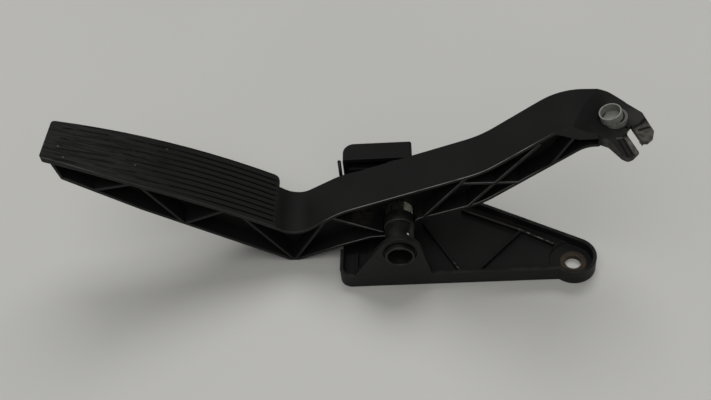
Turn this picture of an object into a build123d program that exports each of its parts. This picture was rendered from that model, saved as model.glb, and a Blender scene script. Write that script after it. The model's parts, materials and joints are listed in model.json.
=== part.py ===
from build123d import *
import os
from math import acos, atan2, cos, degrees, hypot, radians, sin, tan

# A cable-operated accelerator pedal: a moulded lever that turns on a steel shaft in a moulded bracket.
# X runs from the tread to the cable fork, Y from the near bearing ear to the far block, Z away from the body panel.
# X = 0 is the pivot, Y = 0 the lever's middle plane and Z = 0 the bracket's mounting face.

# Pivot
pivot_z = 26.5
pivot = (0, pivot_z)
shaft_r = 7.0
near_journal_r = 6.15
far_journal_r = 4.5
running_fit = 0.05
side_play = 0.35

# Lever
lever_half = 11.75
web_half = 1.5
flange = 1.4
rib = 1.3
far_flange = 2.5
far_rib = 2.0
hub_r = 10.5
hub_near_y = -2.0
flare_skin = 2.0
flare_floor_z = 18.0
flare_left_x = -66.0
flare_right_x = -20.0
flare_reach = 5.2
flare_root = 3.75
lip_reach = 1.5
lip_full_x = 70.0
lip_gone_x = 98.0

# Tread
tread_left = (-171.8, 86.0)
tread_middle = (-113.4, 58.0)
tread_right = (-62.0, 27.0)
tread_end_x = -63.8
beam_left = (-167.8, 83.4)
tread_rise = 0.6
tread_plate_left = 3.2
tread_plate = 2.0
tread_far_left = (-170.6, 16.2)
tread_far_middle = (-113.0, 22.2)
tread_far_right = (tread_end_x, 23.7)
tread_near_left_y = -9.25
taper_start_x = -130.0
groove_count = 9
groove_pitch = 3.5
groove_width = 1.1
groove_first = 4.1
groove_depth_left = -0.8
groove_depth_middle = 0.45
groove_depth_right = 1.2
groove_field_left = -152.0
groove_field_right = -65.4
groove_field_near = -9.6

# Cable fork
crest_z = 93.0
fork_drop = 6.7
fork_z = crest_z - fork_drop
fork_depth = 6.3
neck_drop = 8.3
neck_z = fork_z - neck_drop
fork_plate = 2.4
fork_skirt = 2.2
skirt_turn = -43.9
skirt_full = 78.0
skirt_gone = 96.0
ridge_lean = 0.72
ridge = [(60.0, crest_z + 4.5, 0), (81.5, crest_z + 0.2, 36), (93.5, fork_z, 24)]
slot_width = 4.0
slot_slant = 3.0
slot_turn = -71.6
slot_root = (109.8, -8.9)
wire_slit = 1.2
facet_start = 2.8
facet_width = 3.6
facet_drop = 0.9
grommet_x = 104.35
grommet_y = -3.25
grommet_hole_r = 4.0
fork_left_x = 92.0
fork_flat_x = 96.0
fork_hollow_x = 99.2
fork_right_x = 128.0

# Cable fork in plan view, corners as X, Y and the radius that rounds them
fork_corners = [
    (80.0, -lever_half, 0),
    (95.3, -lever_half, 6),
    (100.1, -15.85, 0),
    (104.6, -25.6, 0),
    (106.8, -28.0, 1.5),
    (109.4, -26.7, 0),
    (112.6, -23.2, 0),
    (115.5, -17.1, 0),
    (117.4, -17.4, 0.8),
    (120.2, -14.6, 0),
    (121.1, -11.4, 1.2),
    (117.6, 1.2, 2),
    (107.6, lever_half, 14),
    (80.0, lever_half, 0),
]

# Lever in side view, corners as X, Z and the radius that rounds them
lever_corners = [
    (-54.9, 20.4, 12),
    (-29.6, 37.5, 40),
    (42.5, 63.3, 50),
    (80.6, crest_z, 30),
    (111.0, crest_z, 0),
    (111.0, fork_z - fork_depth, 0),
    (98.5, fork_z - fork_depth, 0),
    (96.5, neck_z, 0),
    (90.5, neck_z, 12),
    (42.0, 39.6, 40),
    (10.0, 29.0, 3),
    (5.0, 16.6, 4),
    (-15.0, 15.6, 0),
    (-31.0, 10.0, 30),
    (-55.0, 0.0, 4),
    (-59.6, 0.2, 1.5),
    (-165.2, 69.9, 2),
]

# Ribs of the lever's side truss, as runs of points in side view
truss = [
    [(-150.5, 61.4), (-128.3, 66.4), (-110.0, 34.2), (-84.0, 44.0), (-58.2, 1.6)],
    [(-56.4, 1.2), (-37.6, 31.6)],
    [(-35.5, 33.6), (-9.0, 20.0)],
    [(10.0, 27.5), (35.0, 59.9)],
    [(31.0, 55.4), (60.5, 54.6)],
    [(33.0, 35.4), (69.0, 81.0)],
    [(74.7, 66.5), (86.6, 88.5)],
]

# Part of the lever beside the fork that has no pockets, in side view
solid_end = [
    (76.0, crest_z + 7),
    (76.0, crest_z - 5.5),
    (87.0, fork_z - 3.1),
    (97.0, fork_z - 3.1),
    (97.0, fork_z - 16.3),
    (120.0, fork_z - 16.3),
    (120.0, crest_z + 7),
]

# Upper half of the lever in side view, which holds its top flange
top_half = [
    (-75.0, 10.0),
    (-45.0, 18.0),
    (-20.0, 29.0),
    (10.0, 41.0),
    (42.5, 52.0),
    (80.0, 84.0),
    (98.0, 84.0),
    (98.0, crest_z + 10),
    (-75.0, crest_z + 10),
]

# Grommet
grommet_neck_r = 3.95
grommet_collar_r = 5.6
grommet_collar_h = 3.4
grommet_cup_r = 5.3
grommet_cup_bore_r = 4.65
grommet_cup_base = 2.1
grommet_cup_h = 4.1
grommet_cup_depth = 4.6
grommet_cup_shift = -1.7
grommet_lean = -16.5
grommet_gap = 0.45
grommet_gap_depth = 1.3
grommet_seat_gap = 0.25
grommet_socket_r = 2.2
grommet_socket = 3.6
grommet_foot_r = 4.7
grommet_foot_h = 1.4

# Bracket
near_y = -30.75
far_y = 37.5
tail_wall_y = 35.55
left_x = -32.0
corner_r = 6.0
floor_z = 4.0
rim_z = 8.8
wall = 1.8
tail_centre = (88.6, -22.25)
tail_r = 11.6
tail_recess_r = 12.4
tail_recess_z = 3.0
floor_rib_z = 6.6
floor_rib = 1.2
tail_ribs = [
    [(31.1, -29.6), (12.0, 5.5)],
    [(37.6, -29.6), (63.2, -3.0)],
    [(33.0, 13.1), (64.4, -3.1), (79.6, -12.7)],
]
left_rib_x = -23.3
notch_x = -17.5
notch_half = 12.4
recess_x = -31.2
recess_z = 0.5

# Near bearing ear
ear_inner_y = -28.3
ear_r = 11.2
ear_left_x = -24.5
ear_right_x = 15.8
ear_recess_r = 8.5
ear_recess = 1.2

# Far block
block_left_x = -29.3
block_right_x = 7.5
block_near_y = 25.25
block_top_z = 37.0
block_wall = 2.6
far_boss_r = 7.5
shelf_z = 27.0
shelf = 2.4

# Bearing sleeves and collar
sleeve_r = 7.5
sleeve_bore_r = near_journal_r + running_fit
sleeve_outer_y = -33.25
sleeve_inner_y = -13.75
sleeve_lip_r = 7.8
sleeve_lip = 0.9
near_journal_end_y = -24.0
collar_r = 7.7
collar_near_y = sleeve_inner_y + side_play
collar_far_y = -8.2
knurl_count = 26
knurl_depth = 0.45
far_bush_r = 6.0
far_bush_bore_r = far_journal_r + running_fit
far_bush_near_y = 25.6
far_bush_far_y = 32.6
far_shoulder_y = 25.1
far_end_gap = 0.35

# Bolt sleeves
tail_sleeve_r = 6.8
tail_bore_r = 4.3
side_sleeve_r = 5.0
side_bore_r = 3.3
side_bolt = (-22.0, 19.0)

# Stop
lug_left_x = -22.0
lug_right_x = -16.0
lug_top_z = 24.4
lug_depth = 3.4
lug_far_y = 31.5
buffer_gap = 0.2
buffer_left_x = -23.5
buffer_right_x = -14.5
buffer_near_y = 26.6
buffer_far_y = 32.4

# Return springs
outer_coil_r = 11.0
outer_wire_r = 0.95
outer_start_y = lever_half + 2.05
outer_start_turn = 34.7
outer_turns = 4.126
outer_pitch = 2.2
outer_bend_r = 1.6
outer_reach = 19.2
outer_hook = 6.5
outer_leg_x = -30.9
outer_leg_top_z = 37.3
inner_coil_r = 8.8
inner_wire_r = 0.7
inner_start_y = lever_half + 1.65
inner_turns = 6.5
inner_pitch = 1.55
inner_bend_r = 1.2
inner_hook = 6.5
inner_hole_gap = 0.1
inner_leg = 6.5
guide_r = 7.85
guide_near_y = lever_half + side_play
guide_far_y = 24.8


def side(face, y_from, y_to):
    """Solid of a side-view face, given in X and Z, between two Y planes."""
    return Pos(0, y_from, 0) * extrude(Plane.XZ * face, amount=y_to - y_from, dir=(0, 1, 0))


def upright(face, z_from, z_to):
    """Solid of a plan-view face between two Z planes."""
    return Pos(0, 0, z_from) * extrude(face, amount=z_to - z_from, dir=(0, 0, 1))


def polygon(points):
    return make_face(Polyline(points, close=True))


def soften(face, corners):
    """Rounds the named corners, each given as (u, v, radius), of a flat face."""
    for u, v, radius in corners:
        if radius > 0:
            spot = face.vertices().sort_by_distance((u, v, 0))[0]
            face = fillet(spot, radius)
    return face


def strip(start, end, width):
    """Straight bar of a given width between two points of a flat face."""
    run = (end[0] - start[0], end[1] - start[1])
    length = hypot(run[0], run[1])
    turn = degrees(atan2(run[1], run[0]))
    middle = ((start[0] + end[0]) / 2, (start[1] + end[1]) / 2)
    return Pos(middle[0], middle[1]) * (Rot(0, 0, turn) * Rectangle(length, width))


def plan_box(x_from, x_to, y_from, y_to):
    """Rectangle in plan view between two X and two Y values."""
    return Pos((x_from + x_to) / 2, (y_from + y_to) / 2) * Rectangle(x_to - x_from, y_to - y_from)


def block(x_from, x_to, y_from, y_to, z_from, z_to):
    size = Box(x_to - x_from, y_to - y_from, z_to - z_from)
    return Pos((x_from + x_to) / 2, (y_from + y_to) / 2, (z_from + z_to) / 2) * size


def pin(radius, y_from, y_to, x=0.0, z=pivot_z):
    """Cylinder along Y."""
    rod = Cylinder(radius, y_to - y_from)
    return Pos(x, (y_from + y_to) / 2, z) * (Rot(90, 0, 0) * rod)


def bent(start, corner, end, bend_r):
    """Path from start to end that turns at the corner in an arc."""
    first, knee, last = Vector(*start), Vector(*corner), Vector(*end)
    into = (knee - first).normalized()
    out = (last - knee).normalized()
    half = radians(into.get_angle(out) / 2)
    near = knee - into * (bend_r * tan(half))
    far = knee + out * (bend_r * tan(half))
    inward = (out - into).normalized()
    middle = knee + inward * (bend_r / cos(half) - bend_r)
    return [Line(first, near), ThreePointArc(near, middle, far), Line(far, last)]


def coil_path(radius, y_start, turns, pitch, start_turn):
    """Helix about the pivot; its angle runs from +X towards -Z as it advances along +Y."""
    path = Helix(pitch=pitch, height=pitch * turns, radius=radius)
    return Pos(0, y_start, pivot_z) * (Rot(-90, 0, 0) * (Rot(0, 0, start_turn) * path))


def round_wire(edges, radius):
    """Round wire along a smooth path."""
    path = Wire(edges)
    section = Plane(origin=path @ 0, z_dir=path % 0) * Circle(radius)
    return sweep(section, path=path)


def circle_through(a, b, c):
    """Centre and radius of the circle through three points."""
    d = 2 * (a[0] * (b[1] - c[1]) + b[0] * (c[1] - a[1]) + c[0] * (a[1] - b[1]))
    sq_a = a[0] ** 2 + a[1] ** 2
    sq_b = b[0] ** 2 + b[1] ** 2
    sq_c = c[0] ** 2 + c[1] ** 2
    x = (sq_a * (b[1] - c[1]) + sq_b * (c[1] - a[1]) + sq_c * (a[1] - b[1])) / d
    y = (sq_a * (c[0] - b[0]) + sq_b * (a[0] - c[0]) + sq_c * (b[0] - a[0])) / d
    return (x, y), hypot(a[0] - x, a[1] - y)


def tread_arc(drops):
    """The tread's curve in side view, lowered by three amounts at its left, middle and right."""
    marks = zip((tread_left, tread_middle, tread_right), drops)
    points = [(x, z - drop) for (x, z), drop in marks]
    return ThreePointArc(*points)


def between_arcs(upper, lower):
    """Face between two tread curves."""
    left_end = Line(lower @ 0, upper @ 0)
    right_end = Line(upper @ 1, lower @ 1)
    return make_face([upper, right_end, lower, left_end])


# Lever, side view
beam_right = (tread_right[0], tread_right[1] - tread_rise)
beam_top = ThreePointArc(beam_left, (tread_middle[0], tread_middle[1] - tread_rise), beam_right)
beam_corners = [beam_right] + [(x, z) for x, z, radius in lever_corners] + [beam_left]
outline = make_face([beam_top, Polyline(beam_corners)])
outline = soften(outline, lever_corners)


def truss_pockets(edge, bar):
    """Side-view openings left between an edge and bars of given widths."""
    openings = offset(outline, amount=-edge, kind=Kind.INTERSECTION)
    for run in truss:
        for start, end in zip(run, run[1:]):
            openings = openings - strip(start, end, bar)
    return openings - polygon(solid_end)


pockets = truss_pockets(flange, rib)
far_pockets = truss_pockets(far_flange, far_rib) - Pos(*pivot) * Circle(hub_r)

# Lever, plan view of the fork end
fork_plan = polygon([(x, y) for x, y, radius in fork_corners])
fork_plan = soften(fork_plan, fork_corners)
whole_fork = fork_plan
slot = polygon([
    (slot_slant / 2, -slot_width / 2),
    (-slot_slant / 2, slot_width / 2),
    (40, slot_width / 2),
    (40, -slot_width / 2),
])
slot = Pos(*slot_root) * (Rot(0, 0, slot_turn) * slot)
slit = strip((grommet_x, grommet_y), slot_root, wire_slit)
fork_plan = fork_plan - slot

# Lever, solids
lever = side(outline, -lever_half, lever_half)
lever -= side(pockets, -lever_half - 1, -web_half)
lever -= side(far_pockets, web_half, lever_half + 1)
fork_end = plan_box(fork_left_x, fork_right_x, -30, 30)
lever -= upright(fork_end - fork_plan, fork_z - 20, crest_z + 5)
ridge_top = [(fork_right_x + 20, fork_z), (fork_right_x + 20, crest_z + 30), (ridge[0][0], crest_z + 30)]
drop = polygon([(x, z) for x, z, radius in ridge] + ridge_top)
drop = soften(drop, ridge)
back = 40.0
drop_solid = extrude(Plane.XZ * drop, amount=3 * back, dir=(ridge_lean, 1, 0))
drop_solid = Pos(-ridge_lean * back, -lever_half - back, 0) * drop_solid
lever -= drop_solid
lever += upright(fork_plan & plan_box(fork_flat_x, fork_right_x, -35, 15), fork_z - fork_depth, fork_z)
hollow = offset(whole_fork, amount=-fork_skirt, kind=Kind.INTERSECTION)
hollow = hollow & plan_box(fork_hollow_x, fork_right_x + 10, -40, 40)
lever -= upright(hollow, fork_z - 20, fork_z - fork_plate)
skirt_edge = polygon([
    (skirt_full, fork_z - fork_depth),
    (skirt_gone, fork_z - fork_plate),
    (skirt_gone + 20, fork_z - fork_plate),
    (skirt_gone + 20, fork_z - 20),
    (skirt_full, fork_z - 20),
])
lever -= Rot(0, 0, skirt_turn) * side(skirt_edge, -90, 90)
facet = polygon([
    (-slot_width / 2 - facet_width, fork_z),
    (-slot_width / 2, fork_z - facet_drop),
    (-slot_width / 2 + 1, fork_z - facet_drop),
    (-slot_width / 2 + 1, fork_z + 1),
    (-slot_width / 2 - facet_width, fork_z + 1),
])
facet_solid = Pos(facet_start, 0, 0) * extrude(Plane.YZ * facet, amount=40, dir=(1, 0, 0))
lever -= Pos(*slot_root) * (Rot(0, 0, slot_turn) * facet_solid)
lever -= upright(slit, fork_z - 12, fork_z + 1)
grommet_spot = Pos(grommet_x, grommet_y, fork_z)
upward = (Align.CENTER, Align.CENTER, Align.MIN)
lever -= grommet_spot * Cylinder(grommet_hole_r, 30)
seat_r = grommet_collar_r + grommet_seat_gap
lever -= grommet_spot * Cylinder(seat_r, 8, align=upward)
grommet_tilt = Pos(grommet_cup_shift, 0, grommet_cup_base) * Rot(0, grommet_lean, 0)
lever -= grommet_spot * grommet_tilt * Cylinder(grommet_cup_r + grommet_seat_gap, 8, align=upward)
lever += pin(hub_r, hub_near_y, lever_half)
lever -= pin(shaft_r, -lever_half - 1, lever_half + 1)

# Top flange, wider on the far side, most of all towards the tread
skin = outline - offset(outline, amount=-flare_skin, kind=Kind.INTERSECTION)
skin = skin & polygon(top_half)
flare_plan = polygon([
    (flare_left_x, lever_half - flare_root),
    (flare_left_x, lever_half + flare_reach),
    (flare_right_x, lever_half + lip_reach),
    (lip_full_x, lever_half + lip_reach),
    (lip_gone_x, lever_half),
    (lip_gone_x, lever_half - flare_root),
])
flare = side(skin, lever_half - flare_root, lever_half + flare_reach + 3)
flare = flare & upright(flare_plan, flare_floor_z, crest_z + 10)
lever += flare - drop_solid

# Near side of the lever that narrows with the tread
near_taper = polygon([
    (tread_left[0] - 10, -30),
    (taper_start_x, -30),
    (taper_start_x, -lever_half),
    (tread_left[0], tread_near_left_y),
    (tread_left[0] - 10, tread_near_left_y),
])
lever -= upright(near_taper, 0, 100)

# Tread with its grooves
top_curve = tread_arc((0, 0, 0))
plate_curve = tread_arc((tread_plate_left, tread_plate, tread_plate))
tread_edge = ThreePointArc(tread_far_right, tread_far_middle, tread_far_left)
tread_near = [
    tread_far_left,
    (tread_left[0], tread_near_left_y),
    (taper_start_x, -lever_half),
    (tread_end_x, -lever_half),
    tread_far_right,
]
tread_plan = make_face([tread_edge, Polyline(tread_near)])
tread_plan = soften(tread_plan, [(*tread_far_left, 2.2), (tread_left[0], tread_near_left_y, 1.5)])
tread_plan = soften(tread_plan, [(*tread_far_right, 2.5), (taper_start_x, -lever_half, 60)])
tread = side(between_arcs(top_curve, plate_curve), -20, 30) & upright(tread_plan, 0, 100)
groove_floor = tread_arc((groove_depth_left, groove_depth_middle, groove_depth_right))
edge_centre, edge_r = circle_through(tread_far_left, tread_far_middle, tread_far_right)
rings = Sketch()
for index in range(groove_count):
    ring_r = edge_r - groove_first - groove_pitch * index
    ring = Circle(ring_r + groove_width / 2) - Circle(ring_r - groove_width / 2)
    rings += Pos(*edge_centre) * ring
field_size = (groove_field_right - groove_field_left, 40)
field = Pos((groove_field_right + groove_field_left) / 2, groove_field_near + 20) * Rectangle(*field_size)
field = field & offset(tread_plan, amount=-1.6)
groove_plan = rings & field
tread_top = tread_arc((-1, -1, -1))
grooves = side(between_arcs(tread_top, groove_floor), -20, 30) & upright(groove_plan, 0, 100)
lever += tread
lever -= grooves

# Stop lug on the far side of the lever
lug = block(lug_left_x, lug_right_x, web_half, lug_far_y, lug_top_z - lug_depth, lug_top_z)
lever += lug

# Bracket
reach = hypot(block_right_x - tail_centre[0], tail_wall_y - tail_centre[1])
toward = atan2(tail_wall_y - tail_centre[1], block_right_x - tail_centre[0])
touch = toward - acos(tail_r / reach)
tail_touch = (tail_centre[0] + tail_r * cos(touch), tail_centre[1] + tail_r * sin(touch))
base_corners = [
    (left_x, near_y),
    (tail_centre[0], near_y),
    tail_touch,
    (block_right_x, tail_wall_y),
    (block_right_x, far_y),
    (left_x, far_y),
]
base = polygon(base_corners)
base = soften(base, [(left_x, near_y, corner_r), (left_x, far_y, corner_r)])
base = base + Pos(*tail_centre) * Circle(tail_r)
tray = offset(base, amount=-wall, kind=Kind.INTERSECTION)
bracket = upright(base, 0, rim_z) - upright(tray, floor_z, rim_z + 1)
recess = Pos(*tail_centre) * Circle(tail_recess_r) & tray
bracket -= upright(recess, tail_recess_z, floor_z + 1)
floor_ribs = strip((left_rib_x, near_y + 1), (left_rib_x, -notch_half - 0.5), floor_rib)
for run in tail_ribs:
    for start, end in zip(run, run[1:]):
        floor_ribs = floor_ribs + strip(start, end, floor_rib)
floor_ribs = floor_ribs & base
bracket += upright(floor_ribs, floor_z - 1, floor_rib_z)

ear_base = polygon([(ear_left_x, rim_z), (ear_right_x, rim_z), (0, pivot_z - 6.5)])
ear_face = make_hull((Pos(*pivot) * Circle(ear_r)).edges() + ear_base.edges())
ear_foot = polygon([(ear_left_x, 1), (ear_right_x, 1), (ear_right_x, rim_z), (ear_left_x, rim_z)])
bracket += side(ear_face + ear_foot, near_y, ear_inner_y)

block_plan = polygon([
    (block_left_x, block_near_y),
    (block_right_x, block_near_y),
    (block_right_x, far_y),
    (block_left_x, far_y),
])
block_plan = soften(block_plan, [(block_left_x, far_y, corner_r), (block_right_x, far_y, 1.2)])
cavity = (
    block_left_x + block_wall,
    block_right_x - block_wall,
    block_near_y - 1,
    far_y - block_wall,
    floor_z,
    block_top_z - block_wall,
)
housing = upright(block_plan, 0, block_top_z)
top_left = housing.edges().filter_by(Axis.Y).group_by(Axis.Z)[-1].sort_by(Axis.X)[0]
housing = fillet(top_left, 1.6)
housing -= block(*cavity)
housing += pin(far_boss_r, block_near_y + 0.2, far_y - 1)
housing += block(cavity[0] - 1, -10.5, block_near_y, far_y - 1, shelf_z, shelf_z + shelf)
bracket += housing
bracket -= pin(far_bush_r, block_near_y - 1, far_bush_far_y)
bracket -= pin(sleeve_r, near_y - 1, ear_inner_y + 1)
bracket -= pin(ear_recess_r, near_y - 1, near_y + ear_recess)
bracket -= block(left_x - 1, recess_x, -notch_half, notch_half, -1, rim_z + 1)
bracket -= block(recess_x - 1, notch_x, -notch_half, notch_half, recess_z, rim_z + 1)
bracket -= upright(Pos(*tail_centre) * Circle(tail_sleeve_r), -1, rim_z)
bracket -= upright(Pos(*side_bolt) * Circle(side_sleeve_r), -1, rim_z)

# Bolt sleeves
tail_ring = Circle(tail_sleeve_r) - Circle(tail_bore_r)
side_ring = Circle(side_sleeve_r) - Circle(side_bore_r)
tail_sleeve = upright(Pos(*tail_centre) * tail_ring, 0, tail_recess_z)
side_sleeve = upright(Pos(*side_bolt) * side_ring, 0, floor_z)

# Shaft, bearings and collar
shaft = pin(near_journal_r, near_journal_end_y, collar_near_y)
shaft += pin(shaft_r, collar_near_y, far_shoulder_y)
shaft += pin(far_journal_r, far_shoulder_y, far_bush_far_y - far_end_gap)
flute_r = shaft_r + knurl_depth * 0.8
for index in range(knurl_count):
    turn = radians(360 * index / knurl_count)
    flute_at = (flute_r * cos(turn), pivot_z + flute_r * sin(turn))
    shaft -= pin(knurl_depth * 1.6, collar_far_y, hub_near_y, *flute_at)
near_sleeve = pin(sleeve_r, sleeve_outer_y, sleeve_inner_y)
near_sleeve += pin(sleeve_lip_r, sleeve_inner_y - sleeve_lip, sleeve_inner_y)
near_sleeve -= pin(sleeve_bore_r, sleeve_outer_y - 1, sleeve_inner_y + 1)
near_sleeve = chamfer(near_sleeve.edges().filter_by(GeomType.CIRCLE).group_by(Axis.Y)[0], 0.4)
collar = pin(collar_r, collar_near_y, collar_far_y) - pin(shaft_r, collar_near_y - 1, collar_far_y + 1)
far_bush = pin(far_bush_r, far_bush_near_y, far_bush_far_y)
far_bush -= pin(far_bush_bore_r, far_bush_near_y - 1, far_bush_far_y + 1)
lever -= pin(collar_r + side_play, -lever_half - 1, collar_far_y + side_play)

# Rest buffer under the shelf of the far block
rest_buffer = block(
    buffer_left_x, buffer_right_x, buffer_near_y, buffer_far_y, lug_top_z + buffer_gap, shelf_z
)


# Outer return spring: one end presses on the lever's lower flange, the other rests on the bracket's rim and turns up
outer_coil = coil_path(outer_coil_r, outer_start_y, outer_turns, outer_pitch, outer_start_turn)
outer_start = outer_coil @ 0
outer_end = outer_coil @ 1
outer_out = outer_coil % 1
hook_knee = outer_start - (outer_coil % 0) * outer_reach
hook_tip = hook_knee - Vector(0, outer_hook, 0)
leg_knee = outer_end + outer_out * ((outer_leg_x - outer_end.X) / outer_out.X)
leg_tip = Vector(leg_knee.X, leg_knee.Y, outer_leg_top_z)
outer_edges = bent(hook_tip, hook_knee, outer_start, outer_bend_r) + outer_coil.edges()
outer_edges += bent(outer_end, leg_knee, leg_tip, outer_bend_r)
outer_spring = round_wire(outer_edges, outer_wire_r)

# Inner return spring: one end in a hole of the lever's hub, the other beside the far bearing's boss
inner_coil = coil_path(inner_coil_r, inner_start_y, inner_turns, inner_pitch, 0)
hub_knee = inner_coil @ 0 - (inner_coil % 0) * inner_bend_r
hub_tip = hub_knee - Vector(0, inner_hook, 0)
boss_knee = inner_coil @ 1 + (inner_coil % 1) * inner_bend_r
boss_tip = boss_knee + Vector(0, inner_leg, 0)
inner_edges = bent(hub_tip, hub_knee, inner_coil @ 0, inner_bend_r * 0.95) + inner_coil.edges()
inner_edges += bent(inner_coil @ 1, boss_knee, boss_tip, inner_bend_r * 0.95)
inner_spring = round_wire(inner_edges, inner_wire_r)
hook_hole_r = inner_wire_r + inner_hole_gap
lever -= pin(hook_hole_r, hub_tip.Y - 0.3, lever_half + 1, hub_knee.X, hub_knee.Z)

# Sleeve that keeps the coils off the shaft
spring_guide = pin(guide_r, guide_near_y, guide_far_y)
spring_guide -= pin(shaft_r + running_fit, guide_near_y - 1, guide_far_y + 1)

# Cable grommet: a neck through the fork, a collar on it and an open cup that leans towards the pivot
neck_length = fork_plate + 0.2
grommet = Cylinder(grommet_collar_r, grommet_collar_h, align=upward)
gap_floor = grommet_collar_h - grommet_cup_base - grommet_gap_depth
grommet -= grommet_tilt * Pos(0, 0, gap_floor) * Cylinder(grommet_cup_r + grommet_gap, 20, align=upward)
grommet += grommet_tilt * Cylinder(grommet_cup_r, grommet_cup_h, align=upward)
cup_floor = grommet_cup_h - grommet_cup_depth
grommet -= grommet_tilt * Pos(0, 0, cup_floor) * Cylinder(grommet_cup_bore_r, 20, align=upward)
grommet += Pos(0, 0, -neck_length) * Cylinder(grommet_neck_r, neck_length + 0.5, align=upward)
grommet += Pos(0, 0, -neck_length - grommet_foot_h) * Cylinder(grommet_foot_r, grommet_foot_h, align=upward)
socket_start = -neck_length - grommet_foot_h
grommet -= Pos(0, 0, socket_start) * Cylinder(grommet_socket_r, grommet_socket, align=upward)
grommet = grommet_spot * grommet

os.makedirs("parts", exist_ok=True)
pieces = {
    "bracket": bracket,
    "lever": lever,
    "pivot_shaft": shaft,
    "near_bearing_sleeve": near_sleeve,
    "far_bearing_bush": far_bush,
    "thrust_collar": collar,
    "spring_guide": spring_guide,
    "outer_return_spring": outer_spring,
    "inner_return_spring": inner_spring,
    "cable_grommet": grommet,
    "tail_bolt_sleeve": tail_sleeve,
    "side_bolt_sleeve": side_sleeve,
    "rest_buffer": rest_buffer,
}
for name, shape in pieces.items():
    print(name, len(shape.solids()), round(shape.volume, 1))
    export_step(shape, "parts/" + name + ".step")
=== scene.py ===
# %% [markdown]
# # An accelerator pedal in its real finishes
# The pedal is a black moulded lever that turns on a steel shaft in a black moulded bracket.
# Its solids and its hinge come ready made and keep their places. This lesson adds what a solid
# cannot show: worn nylon, plated steel, copies of the springs, a camera and plain studio light.
# All lengths are in metres, with Z up and the bracket's mounting face at Z = 0.

# %% Load the pedal
import json
import math
import bpy
from mathutils import Matrix, Vector

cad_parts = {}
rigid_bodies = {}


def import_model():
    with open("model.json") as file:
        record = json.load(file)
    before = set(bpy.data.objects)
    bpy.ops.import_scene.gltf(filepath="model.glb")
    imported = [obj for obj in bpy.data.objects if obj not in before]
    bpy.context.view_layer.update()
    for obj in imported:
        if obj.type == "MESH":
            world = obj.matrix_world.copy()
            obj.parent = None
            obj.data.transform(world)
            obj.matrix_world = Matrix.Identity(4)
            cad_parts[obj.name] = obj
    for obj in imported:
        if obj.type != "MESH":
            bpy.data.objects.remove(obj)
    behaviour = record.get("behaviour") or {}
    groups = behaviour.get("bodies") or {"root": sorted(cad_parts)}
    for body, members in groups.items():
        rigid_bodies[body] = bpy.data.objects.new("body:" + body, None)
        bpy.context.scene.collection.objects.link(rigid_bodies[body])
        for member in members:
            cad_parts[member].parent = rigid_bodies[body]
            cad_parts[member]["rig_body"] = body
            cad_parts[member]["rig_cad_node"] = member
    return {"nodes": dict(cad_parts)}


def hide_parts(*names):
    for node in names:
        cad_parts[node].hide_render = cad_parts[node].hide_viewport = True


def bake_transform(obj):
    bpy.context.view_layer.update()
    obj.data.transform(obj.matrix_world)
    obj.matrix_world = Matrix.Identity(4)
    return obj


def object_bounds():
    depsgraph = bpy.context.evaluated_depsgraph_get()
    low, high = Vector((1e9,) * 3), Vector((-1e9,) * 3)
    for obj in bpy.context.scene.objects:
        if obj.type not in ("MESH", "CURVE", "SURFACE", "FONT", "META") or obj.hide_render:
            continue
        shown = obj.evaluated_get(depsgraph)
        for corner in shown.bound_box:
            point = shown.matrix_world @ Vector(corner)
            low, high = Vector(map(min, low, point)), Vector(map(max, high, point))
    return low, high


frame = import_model()
solids = frame["nodes"]
cad_low, cad_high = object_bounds()
bpy.ops.object.select_all(action="DESELECT")
print("solids:", len(solids), "size in mm:", [round(1000 * v, 1) for v in cad_high - cad_low])

# %% [markdown]
# ## Camera
# The pedal is looked down on from the side of the bearing ear, with the camera tipped a little to
# one side. A camera can be aimed with a constraint, but here its own right and up directions are
# known, so they are written down and turned into a rotation. The focal length in pixels gives the
# lens that has the same perspective as the view to match.

# %% Place the camera
camera_place = Vector((0.01672, -0.36128, 0.45249))
camera_right = Vector((0.99662, 0.01336, -0.08104))
camera_up = Vector((0.04269, 0.75867, 0.65008))
camera_back = camera_right.cross(camera_up)
camera_turn = Matrix((camera_right, camera_up, camera_back)).transposed()
bpy.ops.object.camera_add(location=camera_place, rotation=camera_turn.to_euler())
camera = bpy.context.object
camera.name = "studio_camera"
focal_pixels, picture_pixels = 1073.27, 711
camera.data.sensor_width = 36.0
camera.data.lens = focal_pixels / picture_pixels * camera.data.sensor_width
bpy.context.scene.camera = camera
print("camera lens in mm:", round(camera.data.lens, 2))

# %% [markdown]
# ## Nodes in few words
# Every finish below is a tree of shader nodes. Building one by hand means adding a node, setting
# its values and dragging its links, so one helper does those three things in a line. It adds to
# the tree that was started last, which saves naming the tree in every line.

# %% Add a node
def start_finish(name):
    """Starts a node material, to which the helpers add until the next one is started."""
    global tree
    finish = bpy.data.materials.new(name)
    finish.use_nodes = True
    tree = finish.node_tree
    return finish


def add(kind, *inputs, **settings):
    """Adds a node; inputs are pairs of a socket and its value, or the socket that feeds it."""
    node = tree.nodes.new("ShaderNode" + kind)
    for key, value in settings.items():
        setattr(node, key, value)
    for socket, value in inputs:
        if isinstance(value, bpy.types.NodeSocket):
            tree.links.new(value, node.inputs[socket])
        else:
            node.inputs[socket].default_value = value
    return node


print("node helpers:", start_finish.__name__, add.__name__)

# %% [markdown]
# ## Places and patterns
# A mark needs a place. Painting it on an unwrapped picture would need a picture; reading Object
# coordinates doesn't. The pieces sit at the origin, so these coordinates are the part's own, and
# a mark stays where it is written, from any side and in any pose.

# %% Read a place on the part
X, Y, Z = 0, 1, 2


def place_on_part():
    return add("TexCoord").outputs["Object"]


def along(axis):
    """How far along an axis a point of the part lies."""
    return add("SeparateXYZ", (0, place_on_part())).outputs[axis]


def facing(axis):
    """How much the surface faces along an axis."""
    return add("SeparateXYZ", (0, add("TexCoord").outputs["Normal"])).outputs[axis]


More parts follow.
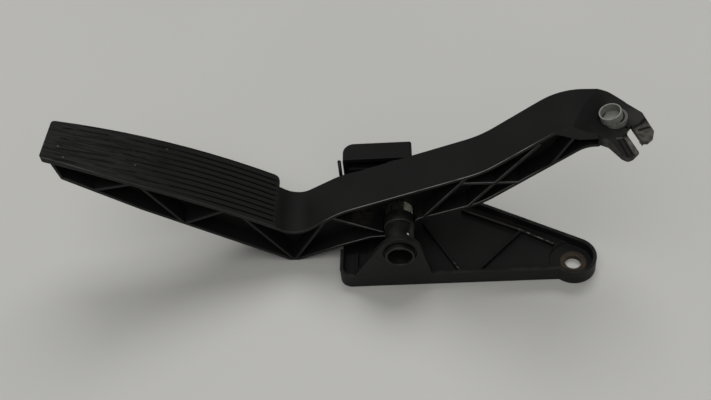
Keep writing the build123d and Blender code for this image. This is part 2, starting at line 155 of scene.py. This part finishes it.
def noise(scale, detail, stretch=None, turn=(0, 0, 0)):
    """Cloudy pattern from 0 to 1; stretch gives streaks, along an axis that can be turned."""
    at = place_on_part()
    if stretch:
        turned = add("Mapping", ("Vector", at), ("Rotation", turn)).outputs[0]
        at = add("Mapping", ("Vector", turned), ("Scale", stretch)).outputs[0]
    return add("TexNoise", ("Vector", at), ("Scale", scale), ("Detail", detail)).outputs[0]


print("pattern helpers:", along.__name__, facing.__name__, noise.__name__)

# %% [markdown]
# ## Masks and colours
# A mask is 1 where a finish shows and 0 elsewhere. Masks are made by fading a value between two
# limits, and joined by multiplying them or by taking the larger one. A colour or a relief is then
# laid on by its mask, one coat over the other, as a painter would.

# %% Make and join masks
def fade(value, none_at, full_at, low=0.0, high=1.0, curve="SMOOTHSTEP"):
    """Goes from low to high while the value goes from none_at to full_at."""
    limits = [("From Min", none_at), ("From Max", full_at), ("To Min", low), ("To Max", high)]
    return add("MapRange", ("Value", value), *limits, interpolation_type=curve).outputs[0]


def maths(operation, first, second=0.0):
    return add("Math", (0, first), (1, second), operation=operation).outputs[0]


def join(operation, masks):
    joined = masks[0]
    for mask in masks[1:]:
        joined = maths(operation, joined, mask)
    return joined


def both(*masks):
    """Full only where all the masks are."""
    return join("MULTIPLY", masks)


def either(*masks):
    """Full where any of the masks is."""
    return join("MAXIMUM", masks)


def band(value, low, high, soft):
    """1 between two limits and 0 outside, with soft ends inside the limits."""
    return both(fade(value, low, low + soft), fade(value, high, high - soft))


print("mask helpers:", fade.__name__, both.__name__, either.__name__, band.__name__)

# %% Lay on colour and relief
edge_samples = 6


def paint(share, under, over):
    """Colour that goes from under to over as share goes from 0 to 1."""
    return add("Mix", (0, share), (6, under), (7, over), data_type="RGBA").outputs[2]


def shifted(value, share, amount):
    """A relief or a roughness, changed by an amount where share is 1."""
    return maths("ADD", value, maths("MULTIPLY", share, amount))


def close_finish(finish, colour, rough, height, soft_edge, gloss=0.5, metal=0.0):
    """Links colour, roughness, relief and softened edges to the shader and sets its constants."""
    shader = finish.node_tree.nodes["Principled BSDF"]
    edge = add("Bevel", ("Radius", soft_edge), samples=edge_samples).outputs[0]
    relief = add("Bump", ("Distance", 1.0), ("Height", height), ("Normal", edge)).outputs[0]
    for socket, source in (("Base Color", colour), ("Roughness", rough), ("Normal", relief)):
        tree.links.new(source, shader.inputs[socket])
    shader.inputs["Specular IOR Level"].default_value = gloss
    shader.inputs["Metallic"].default_value = metal
    print("finish", finish.name, "nodes:", len(finish.node_tree.nodes))


def dress(finish, *names):
    """Gives solids a finish."""
    for name in names:
        solids[name].data.materials.clear()
        solids[name].data.materials.append(finish)
    print(finish.name, "dresses:", ", ".join(names))


print("coat helpers:", paint.__name__, shifted.__name__, close_finish.__name__, dress.__name__)

# %% [markdown]
# ## Black moulded nylon
# The lever and the bracket are glass-filled nylon: nearly black, satin, with the fine grain that
# the mould leaves and a film of dust on what faces up. One colour would look like a toy, so three
# scales of noise are laid over each other: grain, a slight waviness, and clouds of dust. So dark
# a plastic is seen mostly by its gloss, which is one constant for both mouldings.

# %% The nylon both mouldings share
black = (0.0016, 0.0017, 0.0016, 1)
dusty_black = (0.0032, 0.0032, 0.0029, 1)
nylon_gloss = 0.36
grain_height, wave_height = 0.000012, 0.000022


def moulded_nylon():
    """Colour, roughness and relief of the black nylon before local wear."""
    grain = noise(1500, 3)
    dust = both(fade(noise(34, 4), 0.40, 0.70), fade(facing(Z), 0.35, 0.95))
    colour = paint(dust, black, dusty_black)
    rough = fade(grain, 0.25, 0.75, 0.52, 0.68)
    height = shifted(maths("MULTIPLY", grain, grain_height), noise(240, 2), wave_height)
    return colour, rough, height


print("nylon gloss:", nylon_gloss, "grain in mm:", round(1000 * grain_height, 3))

# %% [markdown]
# ## Tread
# The tread is the curved plate that the foot presses. Its top is part of a wide cylinder whose
# axis runs across the pedal, so a point is on the tread when it is far enough from that axis. A
# box would be simpler, but it would catch the flange below the tread as well.

# %% Find the tread
def vectors(operation, first, second):
    return add("VectorMath", (0, first), (1, second), operation=operation).outputs[0]


def distance(first, second):
    return add("VectorMath", (0, first), (1, second), operation="DISTANCE").outputs["Value"]


lever_nylon = start_finish("lever_nylon")
colour, rough, height = moulded_nylon()
tread_axis, tread_radius = (-0.42444, 0.0, -0.51583), 0.65271
side_view = vectors("MULTIPLY", place_on_part(), (1, 0, 1))
reach = distance(side_view, tread_axis)
on_tread = both(
    fade(along(X), -0.0630, -0.0640),
    fade(reach, tread_radius - 0.0020, tread_radius - 0.0016),
)
print("tread radius in mm:", round(1000 * tread_radius, 2))

# %% [markdown]
# ## Worn end of the tread
# Shoes have worn the free end of the tread pale and streaky. The streaks could be drawn one by one,
# but noise that is stretched along the tread's slope gives them all at once and never repeats.

# %% Wear the free end
tread_slope = (0, math.radians(-28), 0)
worn_grey = (0.0125, 0.0126, 0.0112, 1)
worn_height = 0.00038
foot_worn = both(
    on_tread,
    fade(along(X), -0.090, -0.150),
    fade(noise(1.0, 4, (36, 560, 560), tread_slope), 0.36, 0.60, 0.15, 1.0),
)
colour = paint(foot_worn, colour, worn_grey)
height = shifted(height, foot_worn, worn_height)
print("streaks stand up in mm:", round(1000 * worn_height, 2))

# %% [markdown]
# ## Grooves of the tread
# The grooves are cut in the solid. They follow the tread's far edge, a wide arc in plan, one pitch
# apart. Painted shade darkens them and wear breaks them up towards the free end. The share of a
# pitch that is left over tells how far a point is from its groove, so one pattern serves all of
# them.

# %% Paint shade into the grooves
edge_centre, edge_radius = (-0.06614, -0.70712, 0.0), 0.73082
groove_first, groove_pitch, groove_depth = 0.0041, 0.0035, 0.00140
ridge_black = (0.0075, 0.0075, 0.0070, 1)
groove_shade_black = (0.0004, 0.0004, 0.0004, 1)
plan_view = vectors("MULTIPLY", place_on_part(), (1, 1, 0))
first_line = edge_radius - groove_first + groove_pitch / 2
inset = maths("SUBTRACT", first_line, distance(plan_view, edge_centre))
step = maths("FRACT", maths("DIVIDE", inset, groove_pitch))
off_line = maths("ABSOLUTE", maths("SUBTRACT", step, 0.5))
crisp = fade(along(X), -0.1220, -0.1040)
broken = fade(noise(1.0, 4, (75, 420, 420), tread_slope), 0.47, 0.55)
line = both(
    fade(off_line, 0.20, 0.0),
    either(crisp, broken),
    fade(along(Y), -0.0095, -0.0085),
    fade(along(X), -0.1665, -0.1625),
    on_tread,
)
colour = paint(both(crisp, on_tread, 0.8), colour, ridge_black)
# Painted shade: the grooves are coloured near black.
colour = paint(line, colour, groove_shade_black)
height = shifted(height, line, -groove_depth)
print("groove pitch in mm:", round(1000 * groove_pitch, 2))

# %% [markdown]
# ## Scratches
# Grit under the shoes leaves hair-thin scratches over the whole tread, ridges and grooves alike, so
# they are laid on after both. They are the same stretched noise as the wear, only much finer, cut
# off high so that few are left.

# %% Scratch the tread
scratch_grey = (0.022, 0.022, 0.020, 1)
scratch_share = 0.5
scratches = fade(noise(1.0, 2, (55, 2600, 2600), tread_slope), 0.66, 0.76)
colour = paint(both(on_tread, scratches, scratch_share), colour, scratch_grey)
print("scratches cover at most:", scratch_share)

# %% [markdown]
# ## Lint and painted light
# A few specks of lint lie on the tread, and a patch of painted brownish light lies on the web in a
# cell beside the pivot. Scattered dots come from Voronoi cells, of which only some are kept; the
# larger specks and the lit patch are small balls around a point, so they lie on whatever surface is
# there.

# %% Scatter lint, paint light on the web
def patch(centre, radius, soft):
    """1 within a radius of a point and 0 outside, with a soft edge."""
    return fade(distance(place_on_part(), centre), radius + soft, radius - soft)


lint_grey = (0.120, 0.120, 0.112, 1)
lit_web_brown = (0.034, 0.029, 0.018, 1)
specks = [
    (-0.1176, 0.0170, 0.0602),
    (-0.1303, 0.0006, 0.0668),
    (-0.1649, 0.0005, 0.0831),
    (-0.1616, -0.0058, 0.0816),
]
cells = add("TexVoronoi", ("Vector", place_on_part()), ("Scale", 75.0))
draw = add("SeparateXYZ", (0, cells.outputs["Color"])).outputs[X]
dots = fade(cells.outputs["Distance"], 0.026, 0.016)
lint = both(dots, maths("GREATER_THAN", draw, 0.72), on_tread)
lint = either(lint, *[patch(speck, 0.0003, 0.0003) for speck in specks])
colour = paint(lint, colour, lint_grey)
# Painted light: a brownish lit patch on the web of a cell beside the pivot.
lit_web_patch = both(patch((-0.0215, -0.0015, 0.0255), 0.0075, 0.0045), fade(noise(320, 3), 0.35, 0.65))
colour = paint(lit_web_patch, colour, lit_web_brown)
print("specks of lint placed:", len(specks))

# %% [markdown]
# ## Highlight on the near edge
# The lever's near top edge gets a painted light grey highlight, most of all along the arm. An edge
# detector would mark every edge of the solid, so this one is found by its distance from the lever's
# near side, which narrows towards the tread's free end.

# %% Paint a highlight on the near edge
edge_highlight_grey = (0.205, 0.205, 0.198, 1)
near_side = fade(along(X), -0.1300, -0.1718, -0.01175, -0.00925)
on_arm = fade(along(X), -0.0420, -0.0280, 0.10, 1.0)
at_end = fade(along(X), -0.1250, -0.1400, 0.0, 0.24)
# Painted highlight: a thin light grey line along the near top edge.
edge = both(
    fade(maths("SUBTRACT", along(Y), near_side), 0.0006, 0.0002),
    fade(facing(Z), 0.3, 0.6),
    fade(along(X), 0.078, 0.060),
    fade(noise(90, 3), 0.25, 0.60, 0.35, 1.0),
    either(on_arm, at_end),
)
colour = paint(edge, colour, edge_highlight_grey)
print("rubbed edge colour:", edge_highlight_grey[:3])

# %% [markdown]
# ## Fork
# The fork holds the cable, which has rubbed its prongs grey and pressed creases into them; the
# creases are painted dark as shade. Its top is flat, so a rub is a patch and a crease is a straight
# stroke at that one height. The near prong's side wall gets a painted highlight, found by the way
# it faces.

# %% Rub the prongs
def stroke(start, end, width, soft):
    """1 along a straight line between two points and 0 away from it."""
    first, run = Vector(start), Vector(end) - Vector(start)
    step = vectors("SUBTRACT", place_on_part(), first)
    ahead = [(0, step), (1, run / run.length_squared)]
    share = add("VectorMath", *ahead, operation="DOT_PRODUCT").outputs["Value"]
    held = add("Clamp", (0, share)).outputs[0]
    foot = add("VectorMath", (0, run), ("Scale", held), operation="SCALE").outputs[0]
    return fade(distance(step, foot), width / 2 + soft, max(width / 2 - soft, 0.0))


fork_z = 0.0863
rub_polish = 0.12
fork_grey = both(fade(along(X), 0.0965, 0.1045), fade(noise(180, 4), 0.30, 0.70, 0.4, 1.0))
far_root = patch((0.1155, -0.0010, fork_z), 0.0055, 0.0030)
far_rub = patch((0.1186, -0.0128, fork_z), 0.0066, 0.0014)
near_rub = stroke((0.1086, -0.0150, fork_z), (0.1113, -0.0240, fork_z), 0.0028, 0.0009)
rub_noise = fade(noise(420, 4), 0.30, 0.62, 0.35, 1.0)
# Painted highlight: the near prong's side wall is coloured lighter.
near_wall_highlight = both(
    fade(facing(Z), 0.5, 0.2),
    fade(facing(Y), 0.0, -0.3),
    fade(along(X), 0.0965, 0.0990),
    fade(along(X), 0.1085, 0.1065),
)
for rub, grey in (
    (fork_grey, (0.0095, 0.0093, 0.0085, 1)),
    (far_root, (0.0185, 0.0180, 0.0160, 1)),
    (both(far_rub, rub_noise), (0.060, 0.055, 0.048, 1)),
    (both(near_rub, rub_noise), (0.088, 0.084, 0.075, 1)),
    (both(near_wall_highlight, rub_noise), (0.060, 0.057, 0.051, 1)),
):
    colour = paint(rub, colour, grey)
rough = shifted(rough, either(far_rub, near_rub), -rub_polish)
print("fork top in mm:", round(1000 * fork_z, 2))

# %% Crease the prongs
pale_grey = (0.050, 0.050, 0.046, 1)
crease_shade_black = (0.0006, 0.0006, 0.0006, 1)
crease_soft, crease_depth = 0.0004, 0.00050
pale_mark = stroke((0.1036, -0.0148, fork_z), (0.1064, -0.0146, fork_z), 0.0006, 0.0004)
colour = paint(pale_mark, colour, pale_grey)
creases = [
    ((0.1130, -0.0078), (0.1158, -0.0062), 0.0011),
    ((0.1158, -0.0062), (0.1182, -0.0030), 0.0012),
    ((0.1146, -0.0102), (0.1190, -0.0086), 0.0013),
    ((0.1067, -0.0150), (0.1092, -0.0250), 0.0009),
    ((0.1044, -0.0162), (0.1070, -0.0262), 0.0006),
]
crease = either(*[
    stroke((*start, fork_z), (*end, fork_z), width, crease_soft)
    for start, end, width in creases
])
# Painted shade: the creases are coloured near black; their dent is only a bump.
colour = paint(crease, colour, crease_shade_black)
height = shifted(height, crease, -crease_depth)
print("creases:", len(creases))
close_finish(lever_nylon, colour, rough, height, 0.00035, nylon_gloss)
dress(lever_nylon, "lever")

# %% [markdown]
# ## Bracket
# The bracket is the same nylon with less wear. Its tray has collected a brownish film, the top of
# its rim gets a painted highlight, and the tops of two of the floor's ribs get painted highlights
# in places. The rim is found by its height, and the ribs' highlights are strokes along their tops.

# %% Bracket finish
rib_z = 0.0066
film_brown = (0.018, 0.015, 0.010, 1)
rim_highlight_grey = (0.010, 0.010, 0.009, 1)
rib_highlight_grey = (0.020, 0.020, 0.019, 1)
bright_highlight_grey = (0.085, 0.085, 0.082, 1)
bracket_nylon = start_finish("bracket_nylon")
colour, rough, height = moulded_nylon()
film = both(patch((0.057, 0.0085, 0.0065), 0.0050, 0.0040), fade(noise(260, 3), 0.30, 0.65))
# Painted highlight along the top of the rim.
rim_highlight = both(band(along(Z), 0.0084, 0.0094, 0.0004), fade(noise(150, 3), 0.40, 0.65))
# Painted highlights: light strokes along the tops of two floor ribs.
rib_top_highlight = stroke((0.0370, 0.0110, rib_z), (0.0625, -0.0021, rib_z), 0.0005, 0.0003)
tail_rib_highlight = stroke((0.0625, -0.0021, rib_z), (0.0790, -0.0123, rib_z), 0.0005, 0.0003)
rib_end_highlight = stroke((0.0305, -0.0285, rib_z), (0.0268, -0.0217, rib_z), 0.0006, 0.0003)
bright_rib_highlights = both(either(tail_rib_highlight, rib_end_highlight), fade(noise(420, 2), 0.42, 0.55))
colour = paint(film, colour, film_brown)
colour = paint(rim_highlight, colour, rim_highlight_grey)
colour = paint(rib_top_highlight, colour, rib_highlight_grey)
colour = paint(bright_rib_highlights, colour, bright_highlight_grey)
close_finish(bracket_nylon, colour, rough, height, 0.0005, nylon_gloss)
dress(bracket_nylon, "bracket")

# %% [markdown]
# ## Bearings
# The bearing sleeve, bush, collar and spring guide are a smoother black plastic, turned slightly
# shiny where they run. A wave texture along the pivot's axis gives the fine rings that a turning
# shaft leaves. The sleeve also has a painted highlight along its lip and one white speck.

# %% Bearing plastic
pivot = (0.0, 0.0, 0.0265)
clean_black = (0.0024, 0.0024, 0.0022, 1)
smeared_black = (0.0060, 0.0058, 0.0050, 1)
speck_white = (0.45, 0.45, 0.42, 1)
lip_highlight_grey = (0.024, 0.024, 0.022, 1)
bearing_gloss, ring_height = 0.42, 0.000006
bearing_plastic = start_finish("bearing_plastic")
smear = fade(noise(210, 4), 0.35, 0.70)
colour = paint(smear, clean_black, smeared_black)
colour = paint(patch((0.00446, -0.02322, 0.03253), 0.0006, 0.0002), colour, speck_white)
# Painted highlight: a lighter band along the sleeve's lip.
colour = paint(band(along(Y), -0.0150, -0.0140, 0.0003), colour, lip_highlight_grey)
rough = fade(smear, 0.0, 1.0, 0.46, 0.58)
from_pivot = add("Mapping", ("Vector", place_on_part()), ("Location", (0, 0, -pivot[Z])))
rings = add(
    "TexWave", ("Vector", from_pivot.outputs[0]), ("Scale", 260.0), ("Distortion", 1.5),
    wave_type="BANDS", bands_direction="Y",
)
height = maths("MULTIPLY", rings.outputs[1], ring_height)
close_finish(bearing_plastic, colour, rough, height, 0.0004, bearing_gloss)
dress(
    bearing_plastic,
    "near_bearing_sleeve", "far_bearing_bush", "thrust_collar", "spring_guide",
)

# %% [markdown]
# ## Buffer
# The lever's lug rests against a rubber buffer. Rubber is matt and grows a pale bloom with age, so
# it gets a high roughness, little gloss and a cloud of a lighter tone.

# %% Buffer rubber
rubber_black = (0.006, 0.006, 0.006, 1)
bloom_grey = (0.014, 0.014, 0.013, 1)
rubber_gloss, rubber_grain = 0.25, 0.00002
buffer_rubber = start_finish("buffer_rubber")
bloom = fade(noise(500, 4), 0.35, 0.75)
colour = paint(bloom, rubber_black, bloom_grey)
rough = fade(bloom, 0.0, 1.0, 0.78, 0.90)
height = maths("MULTIPLY", noise(1800, 3), rubber_grain)
close_finish(buffer_rubber, colour, rough, height, 0.0003, rubber_gloss)
dress(buffer_rubber, "rest_buffer")

# %% [markdown]
# ## Shaft
# The steel shaft shows beside the hub: greasy and dark, with a grey-beige patch of painted light on
# the side that faces the light. Grease is not a metal, so the shaft is only partly metallic, and
# noise that is stretched around it gives the marks of the lathe.

# %% Shaft finish
thin_grease = (0.060, 0.060, 0.050, 1)
thick_grease = (0.020, 0.020, 0.015, 1)
lit_side_steel = (0.450, 0.458, 0.365, 1)
lathe_height, shaft_metal = 0.000006, 0.3
shaft_steel = start_finish("shaft_steel")
grease = fade(noise(330, 4), 0.35, 0.68)
colour = paint(grease, thin_grease, thick_grease)
# Painted light: the shaft's side towards +X is coloured grey-beige.
colour = paint(fade(along(X), 0.0024, 0.0032), colour, lit_side_steel)
rough = fade(grease, 0.0, 1.0, 0.34, 0.52)
height = maths("MULTIPLY", noise(1.0, 2, (120, 3800, 120)), lathe_height)
close_finish(shaft_steel, colour, rough, height, 0.0002, metal=shaft_metal)
dress(shaft_steel, "pivot_shaft")

# %% [markdown]
# ## Bolt sleeves
# The bolts go through steel sleeves whose yellow plating has gone dull and stained, with fine rings
# from the lathe. Steel is a metal in the shader, so its colour tints the reflections. The rings are
# a wave texture whose middle is moved to the tail's sleeve, the one that shows.

# %% Plated steel
tail_centre = (0.0886, -0.02225)
plating, dull_plating = (0.085, 0.068, 0.042, 1), (0.062, 0.048, 0.038, 1)
stain_brown = (0.045, 0.033, 0.026, 1)
stain_share, lathe_ring_height, plated_metal = 0.6, 0.000035, 0.75
plated_steel = start_finish("plated_steel")
bloom = fade(noise(240, 4), 0.36, 0.66)
colour = paint(bloom, plating, dull_plating)
colour = paint(both(fade(noise(700, 4), 0.52, 0.72), stain_share), colour, stain_brown)
rough = fade(bloom, 0.0, 1.0, 0.42, 0.60)
to_middle = (-tail_centre[X], -tail_centre[Y], 0.0)
from_tail = add("Mapping", ("Vector", place_on_part()), ("Location", to_middle))
rings = add(
    "TexWave", ("Vector", from_tail.outputs[0]), ("Scale", 420.0), ("Distortion", 0.6),
    wave_type="RINGS", rings_direction="Z",
)
height = maths("MULTIPLY", rings.outputs[1], lathe_ring_height)
close_finish(plated_steel, colour, rough, height, 0.0004, metal=plated_metal)
dress(plated_steel, "tail_bolt_sleeve", "side_bolt_sleeve")

# %% [markdown]
# ## Grommet
# The cup in the fork is a grey plastic, smudged by the cable's grease. It leans in its collar, and
# the seam between the two, where the solid has a narrow gap, gets painted shade. The seam is found
# by its distance from the cup's leaning axis, which follows the gap all around.

# %% Grey plastic
grey, pale_plastic = (0.175, 0.177, 0.160, 1), (0.218, 0.220, 0.200, 1)
smudge_grey = (0.030, 0.030, 0.027, 1)
smudge_share, grey_gloss, grey_grain = 0.5, 0.35, 0.000012
grey_plastic = start_finish("grey_plastic")
shade = fade(noise(260, 4), 0.30, 0.70)
colour = paint(shade, grey, pale_plastic)
colour = paint(both(fade(noise(800, 4), 0.58, 0.72), smudge_share), colour, smudge_grey)
rough = fade(shade, 0.0, 1.0, 0.46, 0.60)
height = maths("MULTIPLY", noise(1500, 3), grey_grain)
print("grey plastic mixed")

# %% Collar and seam
collar_z = fork_z + 0.0034
cup_foot, cup_lean, cup_radius = (0.10265, -0.00325, 0.0884), math.radians(-16.5), 0.0053
cup_axis = (math.sin(cup_lean), 0.0, math.cos(cup_lean))
collar_grey = (0.082, 0.083, 0.075, 1)
seam_shade_black = (0.0030, 0.0030, 0.0028, 1)
collar_top = both(
    band(along(Z), collar_z - 0.0003, collar_z + 0.0003, 0.0002),
    fade(facing(Z), 0.7, 0.9),
)
colour = paint(collar_top, colour, collar_grey)
across = vectors("CROSS_PRODUCT", vectors("SUBTRACT", place_on_part(), cup_foot), cup_axis)
from_axis = add("VectorMath", (0, across), operation="LENGTH").outputs["Value"]
# Painted shade: the seam between cup and collar is coloured near black on its right side.
seam_shade = both(
    fade(from_axis, cup_radius + 0.0009, cup_radius + 0.0006),
    fade(from_axis, cup_radius - 0.0003, cup_radius - 0.0001),
    fade(along(Z), collar_z + 0.0004, collar_z + 0.0001),
    fade(along(X), 0.1052, 0.1064),
)
colour = paint(seam_shade, colour, seam_shade_black)
print("collar top in mm:", round(1000 * collar_z, 2))
close_finish(grey_plastic, colour, rough, height, 0.0004, grey_gloss)
dress(grey_plastic, "cable_grommet")

# %% [markdown]
# ## Return springs
# The two torsion springs are dark drawn wire. They stand still at one end and turn with the lever
# at the other. A rigid piece cannot do that. Here each is a copy of its solid, taken out of its
# body, with its points merged, its faces smoothed and the solid itself hidden; the copy does not
# bend.

# %% Spring wire
wire_dark, wire_light = (0.018, 0.018, 0.017, 1), (0.040, 0.039, 0.036, 1)
wire_grain, wire_metal = 0.000005, 0.9
spring_steel = start_finish("spring_steel")
drawn = noise(260, 4)
colour = paint(fade(drawn, 0.3, 0.7), wire_dark, wire_light)
rough = fade(drawn, 0.3, 0.7, 0.30, 0.46)
height = maths("MULTIPLY", noise(2600, 2), wire_grain)
close_finish(spring_steel, colour, rough, height, 0.0001, metal=wire_metal)

# %% Spring copies
same_point, smooth_below = 0.000002, math.radians(40)


def twisting_spring(node, name):
    """Copy of a spring's solid, taken out of its body and dressed in wire; the solid is hidden."""
    bpy.ops.object.select_all(action="DESELECT")
    solids[node].select_set(True)
    bpy.context.view_layer.objects.active = solids[node]
    bpy.ops.object.duplicate(linked=False)
    spring = bpy.context.object
    spring.name = name
    bpy.ops.object.parent_clear(type="CLEAR_KEEP_TRANSFORM")
    del spring["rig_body"], spring["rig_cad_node"]
    bpy.ops.object.mode_set(mode="EDIT")
    bpy.ops.mesh.select_all(action="SELECT")
    bpy.ops.mesh.remove_doubles(threshold=same_point)
    bpy.ops.object.mode_set(mode="OBJECT")
    bpy.ops.object.shade_smooth_by_angle(angle=smooth_below)
    spring.data.materials.clear()
    spring.data.materials.append(spring_steel)
    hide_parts(node)
    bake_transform(spring)
    print(name, "triangles:", len(spring.data.polygons))


twisting_spring("outer_return_spring", "outer_spring_wire")
twisting_spring("inner_return_spring", "inner_spring_wire")

# %% [markdown]
# ## Floor
# A pale, plain floor carries the pedal's soft shadow. It is one large plane just under the mounting
# face, so that it fills the picture from most sides. Its tone varies very little, as a real
# tabletop's does.

# %% Studio floor
floor_size, floor_gap = 8.0, 0.0002
floor_dark, floor_light = (0.440, 0.438, 0.417, 1), (0.462, 0.459, 0.437, 1)
bpy.ops.object.select_all(action="DESELECT")
bpy.ops.mesh.primitive_plane_add(size=floor_size, location=(0, 0, cad_low.z - floor_gap))
floor = bpy.context.object
floor.name = "studio_floor"
floor_paint = start_finish("studio_floor_paint")
floor_colour = paint(fade(noise(3.0, 2), 0.3, 0.7), floor_dark, floor_light)
floor_shader = tree.nodes["Principled BSDF"]
tree.links.new(floor_colour, floor_shader.inputs["Base Color"])
floor_shader.inputs["Roughness"].default_value = 0.7
floor_shader.inputs["Specular IOR Level"].default_value = 0.2
floor.data.materials.append(floor_paint)
print("floor in m:", floor_size)

# %% [markdown]
# ## Lamps
# Three broad lights stand in for a room with windows: one overhead, a weak one from the viewer's
# side and the strongest from behind, which throws the shadow forward. Area lamps would leave the
# far floor dark, so these are distant lights with a wide angle, which light all of it evenly. The
# one behind is kept out of reflections, or it would turn the black tops grey.

# %% Studio lights
def studio_light(name, toward, spread, strength):
    """Broad, distant light from a direction; spread is its width in degrees."""
    turn = Vector(toward).to_track_quat("Z", "Y").to_euler()
    bpy.ops.object.light_add(type="SUN", location=Vector(toward), rotation=turn)
    light = bpy.context.object
    light.name = name
    light.data.angle = math.radians(spread)
    light.data.energy = strength
    print(name, "strength:", strength)
    return light


studio_light("top_light", (-0.25, -0.45, 1.6), 50, 1.05)
studio_light("room_light", (0.3, -1.3, 1.15), 45, 0.38)
window_light = studio_light("window_light", (0.20, 0.85, 1.30), 38, 1.95)
window_light.visible_glossy = False

# %% [markdown]
# ## World
# The world fills the shadows at a low level. Reflections see it brighter, paler overhead than near
# the horizon and paler on the left than on the right, as a room would be, which models the black
# plastic. The camera sees a plain pale backdrop where the floor ends.

# %% Studio world
world_colour = (0.62, 0.617, 0.60, 1)
fill_level, mirrored_level, backdrop_level = 0.30, 0.52, 0.74
horizon_share, left_share, right_share = 0.12, 1.15, 0.48
world = bpy.context.scene.world or bpy.data.worlds.new("studio_world")
bpy.context.scene.world = world
world.use_nodes = True
tree = world.node_tree
ray = add("LightPath").outputs
seen = either(ray["Is Camera Ray"], ray["Is Glossy Ray"], ray["Is Transmission Ray"])
level = fade(seen, 0.0, 1.0, fill_level, mirrored_level, "LINEAR")
look = add("SeparateXYZ", (0, add("TexCoord").outputs["Generated"])).outputs
dome = fade(look[Z], 0.05, 0.8, horizon_share, 1.0, "LINEAR")
wing = fade(look[X], -0.15, 0.15, left_share, right_share, "LINEAR")
backdrop = maths("MULTIPLY", ray["Is Camera Ray"], backdrop_level)
background = tree.nodes["Background"]
background.inputs["Color"].default_value = world_colour
tree.links.new(either(both(level, dome, wing), backdrop), background.inputs["Strength"])
bpy.context.scene.view_settings.view_transform = "Standard"
print("world levels:", fill_level, mirrored_level, backdrop_level)
